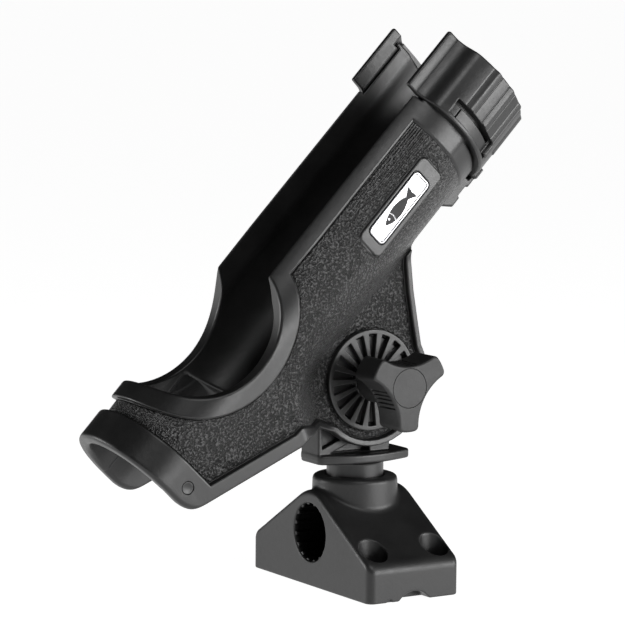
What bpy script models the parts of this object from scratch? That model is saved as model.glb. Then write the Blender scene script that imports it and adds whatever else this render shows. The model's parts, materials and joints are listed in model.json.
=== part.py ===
"""Clamp-mounted fishing rod holder: wedge base, swivelling post, tilting cradle and locking ring.

Frame: +Z up, origin at the centre of the base's underside, on the post's axis. The barrel
rises towards +X, and the clamp knob faces -Y. Units are metres.
"""

import math

import bmesh
import bpy
from mathutils import Matrix

MM = 0.001
GAP = 0.3 * MM

# Base: a wedge with an upright and a sideways post socket.
BASE_LENGTH = 104.7 * MM
BASE_WIDTH = 50.8 * MM
BASE_WALL = 17.2 * MM
ROOF_PEAK = 49.3 * MM
ROOF_RADIUS = 20.0 * MM
BASE_CORNER = 4.0 * MM
BOSS_RADIUS = 20.5 * MM
BOSS_TOP = 52.0 * MM
BOSS_EDGE = 3.0 * MM
SOCKET_RADIUS = 14.06 * MM
SOCKET_FLOOR = 6.0 * MM
SIDE_SOCKET_Z = 25.7 * MM
SIDE_SOCKET_END = 18.0 * MM
SPLINE_TEETH = 16
SPLINE_RIB = 1.0 * MM
SPLINE_LOW = 42.0 * MM
SPLINE_HIGH = 50.0 * MM
SIDE_SPLINE_START = 0.8 * MM
SIDE_SPLINE_LENGTH = 9.1 * MM
SCREW_X = 17.0 * MM
SCREW_Y = 42.5 * MM
SCREW_RADIUS = 3.2 * MM
SCREW_HEAD_RADIUS = 6.4 * MM
SCREW_SEAT = 8.0 * MM
NOTCH_HALF = 8.4 * MM
NOTCH_HEIGHT = 4.2 * MM
NOTCH_DEPTH = 7.0 * MM

# Post: a splined shaft, a boat-shaped plate and a toothed head. The shaft is necked where the
# socket's ribs are, so that it turns in them.
SHAFT_RADIUS = 13.6 * MM
SHAFT_NECK = 12.7 * MM
SHAFT_BOTTOM = 7.0 * MM
GROOVE_TOP = 50.8 * MM
GROOVE_RADIUS = 1.35 * MM
PLATE_BOTTOM = 58.9 * MM
PLATE_THICKNESS = 4.5 * MM
PLATE_HALF_LENGTH = 25.6 * MM
PLATE_END_HALF_WIDTH = 8.8 * MM
PLATE_MID_HALF_WIDTH = 15.0 * MM
HEAD_RADIUS = 23.6 * MM
HEAD_HALF_WIDTH = 8.0 * MM
WEB_HALF_WIDTH = 7.9 * MM
WEB_OUTLINE = [(-25.6, 62.4), (14.0, 62.4), (16.0, 80.7), (0.0, 90.7), (-22.0, 92.7), (-25.6, 84.0)]
WEB_CORE = 2.5 * MM
UPPER_POCKET = [(-23.3, 66.4), (-3.0, 75.2), (-3.0, 82.0), (-23.3, 82.0)]
LOWER_POCKET = [(-18.5, 64.0), (3.0, 64.0), (3.0, 73.0)]
BUSH_RADIUS = 6.0 * MM

# Pivot and its clamp.
PIVOT_Z = 98.7 * MM
RATCHET_TEETH = 24
SPOKES = 18
TOOTH_HEIGHT = 0.7 * MM
TOOTH_INNER = 12.5 * MM
TOOTH_OUTER = 20.0 * MM
BOLT_RADIUS = 3.9 * MM
BOLT_HOLE = 4.3 * MM
DISC_RADIUS = 24.2 * MM
DISC_BARREL = 20.7 * MM
DISC_FACE = 14.6 * MM
DISC_STEP = 11.8 * MM
DISC_INNER_FACE = 9.9 * MM
SPOKE_POCKET_INNER = 10.0 * MM
SPOKE_POCKET_OUTER = 22.4 * MM
SPOKE_POCKET_DEPTH = 2.4 * MM
WASHER_RADIUS = 8.8 * MM
WASHER_THICKNESS = 1.6 * MM
HEX_FLATS = 13.0 * MM
HEX_HEIGHT = 5.3 * MM

# Knob.
KNOB_FACE = 46.3 * MM
KNOB_LOBE_DEPTH = 17.0 * MM
KNOB_LOBE_RADIUS = 20.8 * MM
KNOB_WAIST_RADIUS = 10.3 * MM
KNOB_LOBE_HALF_WIDTH = 5.6 * MM
KNOB_HUB_RADIUS = 10.0 * MM
CAP_RADIUS = 9.4 * MM
CAP_THICKNESS = 2.0 * MM
INSERT_LENGTH = 7.0 * MM

# Cradle, in the barrel's frame: u along the barrel, n away from its axis towards the open side.
TILT = math.radians(46.0)
AXIS_HEIGHT = 58.5 * MM
BARREL_RADIUS = 32.7 * MM
BORE_RADIUS = 26.0 * MM
LOW_END = -112.8 * MM
COLLAR_START = 97.0 * MM
COLLAR_END = 107.8 * MM
COLLAR_RADIUS = 33.5 * MM
NECK_RADIUS = 31.4 * MM
NECK_END = 139.6 * MM
NECK_LIP = 2.6 * MM
NECK_LIP_RADIUS = 33.2 * MM
FLOOR_START = -52.0 * MM
SLOT_HALF_WIDTH = 22.6 * MM
SLOT_START = 8.0 * MM
CUTOUT_U = -41.0 * MM
CUTOUT_N = 41.5 * MM
CUTOUT_RADIUS = 39.5 * MM
FLANK_HALF_WIDTH = 32.0 * MM
FLANK_INSIDE = 26.0 * MM
CHEEK_HALF_WIDTH = 14.9 * MM
CHEEK_INSIDE = 9.0 * MM
CHEEK_RADIUS = 31.7 * MM
CARVE_START = 29.0 * MM
CARVE_END = 54.0 * MM
PAD_HALF_WIDTH = 33.4 * MM
PAD_U = (36.0 * MM, 87.5 * MM)
PAD_N = (-10.0 * MM, 5.0 * MM)
BADGE_LENGTH = 38.2 * MM
BADGE_HEIGHT = 10.6 * MM
BADGE_THICKNESS = 0.9 * MM
BADGE_CORNER = 2.2 * MM
BADGE_SEAT = 0.8 * MM
PLUG_U = -105.0 * MM
PLUG_N = -6.6 * MM
PLUG_RADIUS = 2.8 * MM
LUG_HALF_WIDTH = 7.0 * MM
LUG_OUTLINE = [(84.5, -30.0), (91.5, -39.3), (112.0, -39.3), (112.0, -37.5), (107.8, -37.5), (107.8, -30.0)]
KEEL_REAR = [(-53.0, -40.6), (-48.0, -41.0), (-36.0, -49.0)]
KEEL_FRONT = [(37.2, -58.1), (46.1, -45.9), (54.7, -35.6), (62.0, -27.0), (62.0, 3.0)]
HEEL_RADIUS = 6.0 * MM

# Locking ring, on the neck.
RING_START = 108.4 * MM
RING_END = 142.5 * MM
RING_RADIUS = 36.6 * MM
RING_BORE = 31.8 * MM
RING_LIP_START = 136.6 * MM
RING_LIP_BORE = 33.6 * MM
GRIP_START = 119.0 * MM
RING_GAP_HALF = 22.3 * MM
WINDOW_U = (110.7 * MM, 118.7 * MM)
WINDOW_FLOOR = 35.2 * MM
SLOT_U = (116.5 * MM, 118.5 * MM)
WINDOW_ANGLES = (math.radians(74.0), math.radians(130.0))
SLOT_ANGLES = (math.radians(75.5), math.radians(124.0))
EAR_RISE = 2.6 * MM
EAR_SPAN = math.radians(9.0)
DISH_DEPTH = 0.9 * MM
DISH_SPAN = math.radians(34.0)
EAR_ANGLE = math.radians(36.5)
GRIP_ANGLE = math.radians(78.0)
GRIP_FADE = math.radians(4.0)
GRIP_RISE = 0.25 * MM
GRIP_ROOT = 0.4 * MM
FLUTE_HEIGHT = 0.9 * MM
FLUTE_PITCH = math.radians(19.0)
FIRST_FLUTE = math.radians(85.75)
STOP_ANGLES = (math.pi - math.radians(17.0), math.pi - math.radians(12.0))
STOP_RADIUS = 39.2 * MM
STOP_LENGTH = 5.7 * MM

BLACK_NYLON = ("black_nylon", (0.018, 0.018, 0.019), 0.45, 0.0)
STEEL = ("stainless_steel", (0.62, 0.62, 0.63), 0.28, 1.0)
BRASS = ("brass", (0.72, 0.53, 0.24), 0.3, 1.0)
SILVER = ("badge_silver", (0.82, 0.82, 0.83), 0.25, 1.0)


# ---------------------------------------------------------------- helpers


def clear_scene():
    for obj in list(bpy.data.objects):
        bpy.data.objects.remove(obj)


def material(spec):
    name, colour, roughness, metallic = spec
    found = bpy.data.materials.get(name)
    if found:
        return found
    made = bpy.data.materials.new(name)
    made.use_nodes = True
    shader = made.node_tree.nodes["Principled BSDF"]
    shader.inputs["Base Color"].default_value = (*colour, 1.0)
    shader.inputs["Roughness"].default_value = roughness
    shader.inputs["Metallic"].default_value = metallic
    return made


def add_object(name, bm, parent=None, finish=None):
    """An object from a bmesh, with its normals out. Without a finish it is a hidden cutter or tool."""
    bmesh.ops.recalc_face_normals(bm, faces=bm.faces)
    mesh = bpy.data.meshes.new(name)
    bm.to_mesh(mesh)
    bm.free()
    obj = bpy.data.objects.new(name, mesh)
    bpy.context.scene.collection.objects.link(obj)
    obj.parent = parent
    if finish is None:
        obj.hide_render = True
        obj.display_type = "WIRE"
    else:
        mesh.materials.append(material(finish))
        mesh.shade_smooth()
        mesh.set_sharp_from_angle(angle=math.radians(30))
    return obj


def add_frame(name, location, tilt=0.0, parent=None):
    """An empty on a joint's axis, turned about Y so that its X axis rises by the tilt."""
    empty = bpy.data.objects.new(name, None)
    bpy.context.scene.collection.objects.link(empty)
    empty.location = location
    empty.rotation_euler = (0.0, -tilt, 0.0)
    empty.parent = parent
    return empty


def combine(target, tool, operation, solver):
    step = target.modifiers.new(f"{operation.lower()}_{tool.name}", "BOOLEAN")
    step.operation = operation
    step.solver = solver
    step.object = tool


def cut(target, tool, solver="EXACT"):
    combine(target, tool, "DIFFERENCE", solver)


def join(target, tool, solver="EXACT"):
    combine(target, tool, "UNION", solver)


def loft(loops):
    """A closed solid through loops of equal length, capped at both ends."""
    bm = bmesh.new()
    rings = [[bm.verts.new(point) for point in loop] for loop in loops]
    count = len(rings[0])
    for lower, upper in zip(rings, rings[1:]):
        for i in range(count):
            j = (i + 1) % count
            bm.faces.new((lower[i], lower[j], upper[j], upper[i]))
    bm.faces.new(rings[0])
    bm.faces.new(reversed(rings[-1]))
    return bm


def prism(outline, low, high, across="Y"):
    """An outline drawn in XZ, YZ or XY, extruded from low to high along the axis across it."""
    place = {
        "X": lambda a, b, c: (c, a, b),
        "Y": lambda a, b, c: (a, c, b),
        "Z": lambda a, b, c: (a, b, c),
    }[across]
    return loft([[place(a, b, c) for a, b in outline] for c in (low, high)])


def box(x, y, z):
    return prism([(x[0], y[0]), (x[1], y[0]), (x[1], y[1]), (x[0], y[1])], z[0], z[1], "Z")


def turned(profile, segments, across="Z"):
    """A solid of revolution through (radius, height) points; a closed profile makes a ring."""
    turn = {
        "X": lambda r, h, c, s: (h, r * s, r * c),
        "Y": lambda r, h, c, s: (r * c, h, r * s),
        "Z": lambda r, h, c, s: (r * c, r * s, h),
    }[across]
    bm = bmesh.new()
    rings = []
    for k in range(segments):
        angle = 2 * math.pi * (k + 0.5) / segments
        c, s = math.cos(angle), math.sin(angle)
        rings.append([bm.verts.new(turn(r, h, c, s)) for r, h in profile])
    for k in range(segments):
        here, there = rings[k], rings[(k + 1) % segments]
        for i in range(len(profile)):
            j = (i + 1) % len(profile)
            bm.faces.new((here[i], here[j], there[j], there[i]))
    return bm


def cylinder(radius, low, high, segments, across="Z", centre=(0.0, 0.0)):
    outline = circle(radius, segments, centre)
    return prism(outline, low, high, across)


def circle(radius, segments, centre=(0.0, 0.0)):
    a, b = centre
    steps = [2 * math.pi * (k + 0.5) / segments for k in range(segments)]
    return [(a + radius * math.cos(t), b + radius * math.sin(t)) for t in steps]


def arc(radius, first, last, steps, centre=(0.0, 0.0)):
    a, b = centre
    turns = [first + (last - first) * k / steps for k in range(steps + 1)]
    return [(a + radius * math.cos(t), b + radius * math.sin(t)) for t in turns]


def merged(parts):
    """Several separate closed shapes in one bmesh, for one Boolean."""
    whole = bmesh.new()
    for part in parts:
        mesh = bpy.data.meshes.new("part")
        part.to_mesh(mesh)
        part.free()
        whole.from_mesh(mesh)
        bpy.data.meshes.remove(mesh)
    return whole


def moved(bm, matrix):
    bmesh.ops.transform(bm, matrix=matrix, verts=bm.verts)
    return bm


def bevel_where(bm, chosen, width, segments):
    edges = [edge for edge in bm.edges if chosen(*(vert.co for vert in edge.verts))]
    bmesh.ops.bevel(bm, geom=edges, offset=width, segments=segments, profile=0.5, affect="EDGES")
    return bm


def in_mm(points, shift=0.0):
    """An outline given in millimetres, in metres, with its second coordinate shifted."""
    return [(a * MM, b * MM + shift) for a, b in points]


def smooth_step(t):
    t = min(max(t, 0.0), 1.0)
    return t * t * (3.0 - 2.0 * t)


# ---------------------------------------------------------------- base


def roof_outline():
    """The base's end view: upright walls, two slopes and a rounded ridge."""
    half = BASE_LENGTH / 2
    slope = math.atan2(ROOF_PEAK - BASE_WALL, half)
    centre_z = ROOF_PEAK - ROOF_RADIUS / math.cos(slope)
    ridge = arc(ROOF_RADIUS, math.pi / 2 - slope, math.pi / 2 + slope, 8, (0.0, centre_z))
    return [(-half, 0.0), (half, 0.0), (half, BASE_WALL), *ridge, (-half, BASE_WALL)]


def spline_rods(size, low, high, across, centre=(0.0, 0.0)):
    """Rods standing round a socket's wall: its ribs, or the cutters of the shaft's grooves."""
    spots = circle(SOCKET_RADIUS, SPLINE_TEETH, centre)
    return merged([cylinder(size, low, high, 8, across, spot) for spot in spots])


def base_mount():
    half_x = BASE_WIDTH / 2
    half_y = BASE_LENGTH / 2

    def outer_corner(a, b):
        upright = abs(a.z - b.z) > BASE_WALL / 2 and abs(a.y) > half_y - MM and abs(b.y) > half_y - MM
        return upright and abs(a.x) > half_x - MM

    shell = prism(roof_outline(), -half_x, half_x, "X")
    base = add_object("base_mount", bevel_where(shell, outer_corner, BASE_CORNER, 3), None, BLACK_NYLON)
    rim = arc(BOSS_EDGE, 0.0, math.pi / 2, 3, (BOSS_RADIUS - BOSS_EDGE, BOSS_TOP - BOSS_EDGE))
    foot = BASE_WALL + 3 * MM
    boss = turned([(MM, foot), (BOSS_RADIUS, foot), *rim, (MM, BOSS_TOP)], 40)
    join(base, add_object("boss", boss))
    upright = cylinder(SOCKET_RADIUS, SOCKET_FLOOR, BOSS_TOP + MM, 48)
    cut(base, add_object("upright_socket", upright))
    side = cylinder(SOCKET_RADIUS, -half_x - MM, SIDE_SOCKET_END, 48, "X", (0.0, SIDE_SOCKET_Z))
    cut(base, add_object("side_socket", side))
    upright_ribs = spline_rods(SPLINE_RIB, SPLINE_LOW, SPLINE_HIGH, "Z")
    join(base, add_object("upright_ribs", upright_ribs))
    start = -half_x + SIDE_SPLINE_START
    side_ribs = spline_rods(SPLINE_RIB, start, start + SIDE_SPLINE_LENGTH, "X", (0.0, SIDE_SOCKET_Z))
    join(base, add_object("side_ribs", side_ribs))
    corners = [(x, y) for x in (-SCREW_X, SCREW_X) for y in (-SCREW_Y, SCREW_Y)]
    seats = [cylinder(SCREW_HEAD_RADIUS, SCREW_SEAT, ROOF_PEAK, 24, "Z", spot) for spot in corners]
    holes = [cylinder(SCREW_RADIUS, -MM, SCREW_SEAT + MM, 16, "Z", spot) for spot in corners]
    cut(base, add_object("screw_seats", merged(seats)))
    cut(base, add_object("screw_holes", merged(holes)))
    notch_radius = (NOTCH_HALF**2 + NOTCH_HEIGHT**2) / (2 * NOTCH_HEIGHT)
    centre = (0.0, NOTCH_HEIGHT - notch_radius)
    notches = [
        cylinder(notch_radius, half_y - NOTCH_DEPTH, half_y + MM, 40, "Y", centre),
        cylinder(notch_radius, -half_y - MM, -half_y + NOTCH_DEPTH, 40, "Y", centre),
    ]
    cut(base, add_object("cable_notches", merged(notches)))


# ---------------------------------------------------------------- post


def crown_face(radii, heights, crest, count):
    """Rings of one toothed face, from the bore outwards. Toothed rings rise by crest on every other point."""
    rings = []
    for (radius, toothed), height in zip(radii, heights):
        ring = []
        for k in range(count):
            angle = 2 * math.pi * k / count
            lift = crest if toothed and k % 2 == 0 else 0.0
            ring.append((radius * math.cos(angle), height + lift, radius * math.sin(angle)))
        rings.append(ring)
    return rings


def post_head():
    """The head between the cheeks: a disc with radial V teeth on both faces, bored for the bush."""
    count = 2 * RATCHET_TEETH
    radii = [
        (BUSH_RADIUS + GAP, False),
        (TOOTH_INNER, False),
        (TOOTH_INNER + 0.5 * MM, True),
        (TOOTH_OUTER, True),
        (TOOTH_OUTER + 0.5 * MM, False),
        (HEAD_RADIUS, False),
    ]
    face = crown_face(radii, [HEAD_HALF_WIDTH] * len(radii), TOOTH_HEIGHT, count)
    mirrored = [[(x, -y, z) for x, y, z in ring] for ring in reversed(face)]
    loops = face + mirrored
    bm = bmesh.new()
    rings = [[bm.verts.new(point) for point in loop] for loop in loops]
    for i, ring in enumerate(rings):
        after = rings[(i + 1) % len(rings)]
        for k in range(count):
            m = (k + 1) % count
            bm.faces.new((ring[k], ring[m], after[m], after[k]))
    return moved(bm, Matrix.Translation((0.0, 0.0, PIVOT_Z)))


def plate_outline():
    """The plate's plan: square ends, and sides that swell to the middle."""
    steps = 8
    half = PLATE_HALF_LENGTH
    swell = PLATE_MID_HALF_WIDTH - PLATE_END_HALF_WIDTH
    side = []
    for k in range(steps + 1):
        x = -half + 2 * half * k / steps
        side.append((x, PLATE_END_HALF_WIDTH + swell * math.cos(math.pi * x / (2 * half))))
    return [(x, -y) for x, y in side] + list(reversed(side))


def post_arm(swivel):
    top = PLATE_BOTTOM + PLATE_THICKNESS
    shaft = cylinder(SHAFT_RADIUS, SHAFT_BOTTOM, PLATE_BOTTOM + MM, 48)
    post = add_object("post_arm", shaft, swivel, BLACK_NYLON)
    grooves = spline_rods(GROOVE_RADIUS, SHAFT_BOTTOM - MM, GROOVE_TOP, "Z")
    cut(post, add_object("shaft_grooves", grooves, swivel))
    low, high = SPLINE_LOW - 2 * GAP, SPLINE_HIGH + 2 * GAP
    wide = SHAFT_RADIUS + MM
    neck = turned([(SHAFT_NECK, low), (wide, low), (wide, high), (SHAFT_NECK, high)], 48)
    cut(post, add_object("shaft_neck", neck, swivel))
    plate = prism(plate_outline(), PLATE_BOTTOM, top, "Z")
    join(post, add_object("plate", plate, swivel))
    web = prism(in_mm(WEB_OUTLINE), -WEB_HALF_WIDTH, WEB_HALF_WIDTH)
    join(post, add_object("web", web, swivel))
    beyond = WEB_HALF_WIDTH + 2 * MM
    pockets = []
    for outline in (in_mm(UPPER_POCKET), in_mm(LOWER_POCKET)):
        pockets.append(prism(outline, WEB_CORE, beyond))
        pockets.append(prism(outline, -beyond, -WEB_CORE))
    cut(post, add_object("web_pockets", merged(pockets), swivel))
    hole = cylinder(BUSH_RADIUS + 2 * MM, -beyond, beyond, 24, "Y", (0.0, PIVOT_Z))
    cut(post, add_object("head_clearance", hole, swivel))
    join(post, add_object("head", post_head(), swivel))


def pivot_bush(swivel):
    half = HEAD_HALF_WIDTH
    wall = [(BOLT_HOLE, -half), (BUSH_RADIUS, -half), (BUSH_RADIUS, half), (BOLT_HOLE, half)]
    sleeve = moved(turned(wall, 24, "Y"), Matrix.Translation((0.0, 0.0, PIVOT_Z)))
    add_object("pivot_bush", sleeve, swivel, STEEL)


# ---------------------------------------------------------------- cradle


def keel_outline():
    """Side view of the cradle below its axis, in (u, w), with w measured from the pivot."""
    heel_centre = (LOW_END + HEEL_RADIUS, AXIS_HEIGHT - 2 * HEEL_RADIUS)
    heel = arc(HEEL_RADIUS, math.pi, 1.63 * math.pi, 4, heel_centre)
    rear = in_mm(KEEL_REAR, AXIS_HEIGHT)
    cheek = arc(CHEEK_RADIUS, math.radians(-178), math.radians(-17), 14)
    front = in_mm(KEEL_FRONT, AXIS_HEIGHT)
    return [(LOW_END, AXIS_HEIGHT + 3 * MM), *heel, *rear, *cheek, *front]


def carve(inside, outside, first, last, side):
    """A cutter that narrows the keel round the pivot, flaring from inside at first to outside at last."""
    loops = []
    for radius, half_width in carve_profile(inside, outside, first, last):
        far = 120.0 * MM
        half_turn = arc(radius, math.pi / 2, 3 * math.pi / 2, 16)
        path = [(far, radius), *half_turn, (far, -radius)]
        loops.append([(u, side * half_width, w) for u, w in path])
    return loft(loops)


def carve_profile(inside, outside, first, last):
    steps = 8
    spots = [first + (last - first) * k / steps for k in range(steps + 1)]
    curve = [(r, inside + (outside - inside) * smooth_step((r - first) / (last - first))) for r in spots]
    return [*curve, (last + 2 * MM, outside + 10 * MM)]


def barrel(tilt_frame):
    """The tube with its collar and neck, and with no floor at the low end."""
    core = BORE_RADIUS - 2 * MM  # the bore is cut later, once the keel is joined on
    profile = [
        (core, LOW_END),
        (BARREL_RADIUS, LOW_END),
        (BARREL_RADIUS, COLLAR_START),
        (COLLAR_RADIUS, COLLAR_START + 0.8 * MM),
        (COLLAR_RADIUS, COLLAR_END),
        (NECK_RADIUS, COLLAR_END),
        (NECK_RADIUS, NECK_END - NECK_LIP),
        (NECK_LIP_RADIUS, NECK_END - NECK_LIP),
        (NECK_LIP_RADIUS, NECK_END - MM),
        (NECK_LIP_RADIUS - MM, NECK_END),
        (core, NECK_END),
    ]
    tube = moved(turned(profile, 64, "X"), Matrix.Translation((0.0, 0.0, AXIS_HEIGHT)))
    tool = add_object("barrel", tube, tilt_frame)
    floor = prism(
        [
            (LOW_END - MM, AXIS_HEIGHT - 40 * MM),
            (FLOOR_START + 10 * MM, AXIS_HEIGHT - 40 * MM),
            (FLOOR_START, AXIS_HEIGHT),
            (LOW_END - MM, AXIS_HEIGHT),
        ],
        -40 * MM,
        40 * MM,
    )
    cut(tool, add_object("open_floor", floor, tilt_frame))
    return tool


def keel_void(tilt_frame):
    """The space between the flanks and cheeks, open at the bottom and the rear."""
    low, high = LOW_END - 10 * MM, 95 * MM
    wide = box((low, high), (-FLANK_INSIDE, FLANK_INSIDE), (-60 * MM, AXIS_HEIGHT + 5 * MM))
    void = add_object("keel_void", wide, tilt_frame)
    sides = [
        carve(CHEEK_INSIDE, FLANK_INSIDE, CARVE_START + 3 * MM, CARVE_END + 3 * MM, side)
        for side in (-1, 1)
    ]
    cut(void, add_object("keel_void_sides", merged(sides), tilt_frame))
    return void


def stop_lug():
    """The wedge under the collar, with a finger that overhangs the ring's edge."""
    return prism(in_mm(LUG_OUTLINE, AXIS_HEIGHT), -LUG_HALF_WIDTH, LUG_HALF_WIDTH)


def badge_centre():
    return (sum(PAD_U) / 2 - 1.0 * MM, sum(PAD_N) / 2 + 0.5 * MM + AXIS_HEIGHT)


def badge_block(side, margin, inner, outer):
    u, w = badge_centre()
    half_u = BADGE_LENGTH / 2 + margin
    half_w = BADGE_HEIGHT / 2 + margin
    y = sorted((side * inner, side * outer))
    block = box((u - half_u, u + half_u), y, (w - half_w, w + half_w))
    return bevel_where(block, lambda a, b: abs(a.y - b.y) > 0.1 * MM, BADGE_CORNER, 3)


def cradle_cuts():
    """Every opening of the cradle, as named cutters in the order they are made."""
    along = (CUTOUT_U, NECK_END + 10 * MM)
    upwards = (AXIS_HEIGHT + SLOT_START, AXIS_HEIGHT + 60 * MM)
    slot = box(along, (-SLOT_HALF_WIDTH, SLOT_HALF_WIDTH), upwards)
    cutout = cylinder(CUTOUT_RADIUS, -50 * MM, 50 * MM, 56, "Y", (CUTOUT_U, CUTOUT_N + AXIS_HEIGHT))
    outside = 40 * MM
    seats = []
    badges = []
    plugs = []
    for side in (-1, 1):
        far = side * outside
        seats.append(cylinder(DISC_RADIUS + 0.4 * MM, side * (DISC_STEP - GAP), far, 48, "Y"))
        badges.append(badge_block(side, GAP, PAD_HALF_WIDTH - BADGE_SEAT, outside))
        spot = (PLUG_U, PLUG_N + AXIS_HEIGHT)
        plugs.append(cylinder(PLUG_RADIUS + GAP, side * (FLANK_INSIDE - 2 * MM), far, 20, "Y", spot))
    bores = cylinder(DISC_BARREL + 0.35 * MM, -20 * MM, 20 * MM, 48, "Y")
    return {
        "slot": slot,
        "side_cutout": cutout,
        "disc_seats": merged(seats),
        "disc_bores": bores,
        "badge_seats": merged(badges),
        "plug_holes": merged(plugs),
    }


def cradle_body(tilt_frame):
    keel = prism(keel_outline(), -FLANK_HALF_WIDTH, FLANK_HALF_WIDTH)
    body = add_object("cradle_body", keel, tilt_frame, BLACK_NYLON)
    sides = [
        carve(CHEEK_HALF_WIDTH, FLANK_HALF_WIDTH, CARVE_START, CARVE_END, side) for side in (-1, 1)
    ]
    cut(body, add_object("keel_sides", merged(sides), tilt_frame))
    cut(body, keel_void(tilt_frame))
    join(body, barrel(tilt_frame))
    pads = [
        box(PAD_U, sorted((side * 30 * MM, side * PAD_HALF_WIDTH)), [n + AXIS_HEIGHT for n in PAD_N])
        for side in (-1, 1)
    ]
    join(body, add_object("badge_pads", merged(pads), tilt_frame))
    join(body, add_object("stop_lug", stop_lug(), tilt_frame))
    bore = cylinder(BORE_RADIUS, LOW_END - MM, NECK_END + MM, 64, "X", (0.0, AXIS_HEIGHT))
    cut(body, add_object("bore", bore, tilt_frame))
    for name, shape in cradle_cuts().items():
        cut(body, add_object(name, shape, tilt_frame), "MANIFOLD")


def ratchet_disc(name, tilt_frame, side):
    """A spoked disc in each cheek, with the teeth that face the post's head."""
    count = 2 * RATCHET_TEETH
    pitch = 2 * math.pi / RATCHET_TEETH
    radii = [
        (BOLT_HOLE, False),
        (TOOTH_INNER, False),
        (TOOTH_INNER + 0.5 * MM, True),
        (TOOTH_OUTER, True),
        (TOOTH_OUTER + 0.5 * MM, False),
    ]
    rings = crown_face(radii, [DISC_INNER_FACE] * len(radii), -TOOTH_HEIGHT, count)
    outer = [(DISC_BARREL, DISC_INNER_FACE), (DISC_BARREL, DISC_STEP), (DISC_RADIUS, DISC_STEP)]
    outer += [(DISC_RADIUS, DISC_FACE), (BOLT_HOLE, DISC_FACE)]
    turns = [pitch * k / 2 for k in range(count)]
    for radius, height in outer:
        rings.append([(radius * math.cos(t), height, radius * math.sin(t)) for t in turns])
    bm = bmesh.new()
    loops = [[bm.verts.new(point) for point in ring] for ring in rings]
    for i, ring in enumerate(loops):
        after = loops[(i + 1) % len(loops)]
        for k in range(count):
            m = (k + 1) % count
            bm.faces.new((ring[k], ring[m], after[m], after[k]))
    if side < 0:
        moved(bm, Matrix.Scale(-1, 4, (0, 1, 0)))
    disc = add_object(name, bm, tilt_frame, BLACK_NYLON)
    spacing = 2 * math.pi / SPOKES
    pockets = [spoke_pocket(spacing * (k + 0.5), side, spacing) for k in range(SPOKES)]
    cut(disc, add_object(f"{name}_pockets", merged(pockets), tilt_frame))
    disc.rotation_euler = (0.0, TILT, 0.0)


def spoke_pocket(turn, side, pitch):
    """One wedge-shaped pocket between two spokes."""
    half_in = 0.23 * pitch
    half_out = 0.28 * pitch
    corners = [
        (SPOKE_POCKET_INNER, -half_in),
        (SPOKE_POCKET_OUTER, -half_out),
        (SPOKE_POCKET_OUTER, half_out),
        (SPOKE_POCKET_INNER, half_in),
    ]
    outline = [(r * math.cos(turn + t), r * math.sin(turn + t)) for r, t in corners]
    low, high = sorted((side * (DISC_FACE - SPOKE_POCKET_DEPTH), side * (DISC_FACE + MM)))
    return prism(outline, low, high)


def badge(name, tilt_frame, side):
    inner = PAD_HALF_WIDTH - BADGE_SEAT + GAP
    add_object(name, badge_block(side, 0.0, inner, inner + BADGE_THICKNESS), tilt_frame, SILVER)


def end_plug(name, tilt_frame, side):
    low, high = sorted((side * (FLANK_INSIDE + 0.4 * MM), side * (FLANK_HALF_WIDTH + 0.2 * MM)))
    spot = (PLUG_U, PLUG_N + AXIS_HEIGHT)
    add_object(name, cylinder(PLUG_RADIUS, low, high, 20, "Y", spot), tilt_frame, BLACK_NYLON)


# ---------------------------------------------------------------- clamp and knob


def hexagon(flats):
    return circle(flats / math.sqrt(3), 6)


def washer(name, parent, side, finish):
    near = DISC_FACE + GAP
    low, high = sorted((side * near, side * (near + WASHER_THICKNESS)))
    wall = [(BOLT_HOLE, low), (WASHER_RADIUS, low), (WASHER_RADIUS, high), (BOLT_HOLE, high)]
    add_object(name, turned(wall, 28, "Y"), parent, finish)


def clamp_bolt(parent):
    seat = DISC_FACE + GAP + WASHER_THICKNESS + GAP
    head = prism(hexagon(HEX_FLATS), seat, seat + HEX_HEIGHT)
    bolt = add_object("clamp_bolt", head, parent, STEEL)
    shank = cylinder(BOLT_RADIUS, -38 * MM, seat + MM, 24, "Y")
    join(bolt, add_object("bolt_shank", shank, parent))


def knob_outline():
    """Three rounded lobes with a concave waist between each pair."""
    outline = []
    for lobe in range(3):
        middle = math.radians(30 + 120 * lobe)
        spread = math.asin(KNOB_LOBE_HALF_WIDTH / KNOB_LOBE_RADIUS)
        tip = arc(KNOB_LOBE_RADIUS, middle - spread, middle + spread, 4)
        outline += tip
        outline += waist_curve(middle + spread, middle + math.radians(120) - spread)
    return outline


def waist_curve(first, last):
    """The concave side between two lobe tips: deepest half way, and straight near the tips."""
    points = []
    steps = 10
    for k in range(1, steps):
        t = k / steps
        swing = math.sin(math.pi * t) ** 0.62
        radius = KNOB_LOBE_RADIUS + (KNOB_WAIST_RADIUS - KNOB_LOBE_RADIUS) * swing
        angle = first + (last - first) * t
        points.append((radius * math.cos(angle), radius * math.sin(angle)))
    return points


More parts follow.
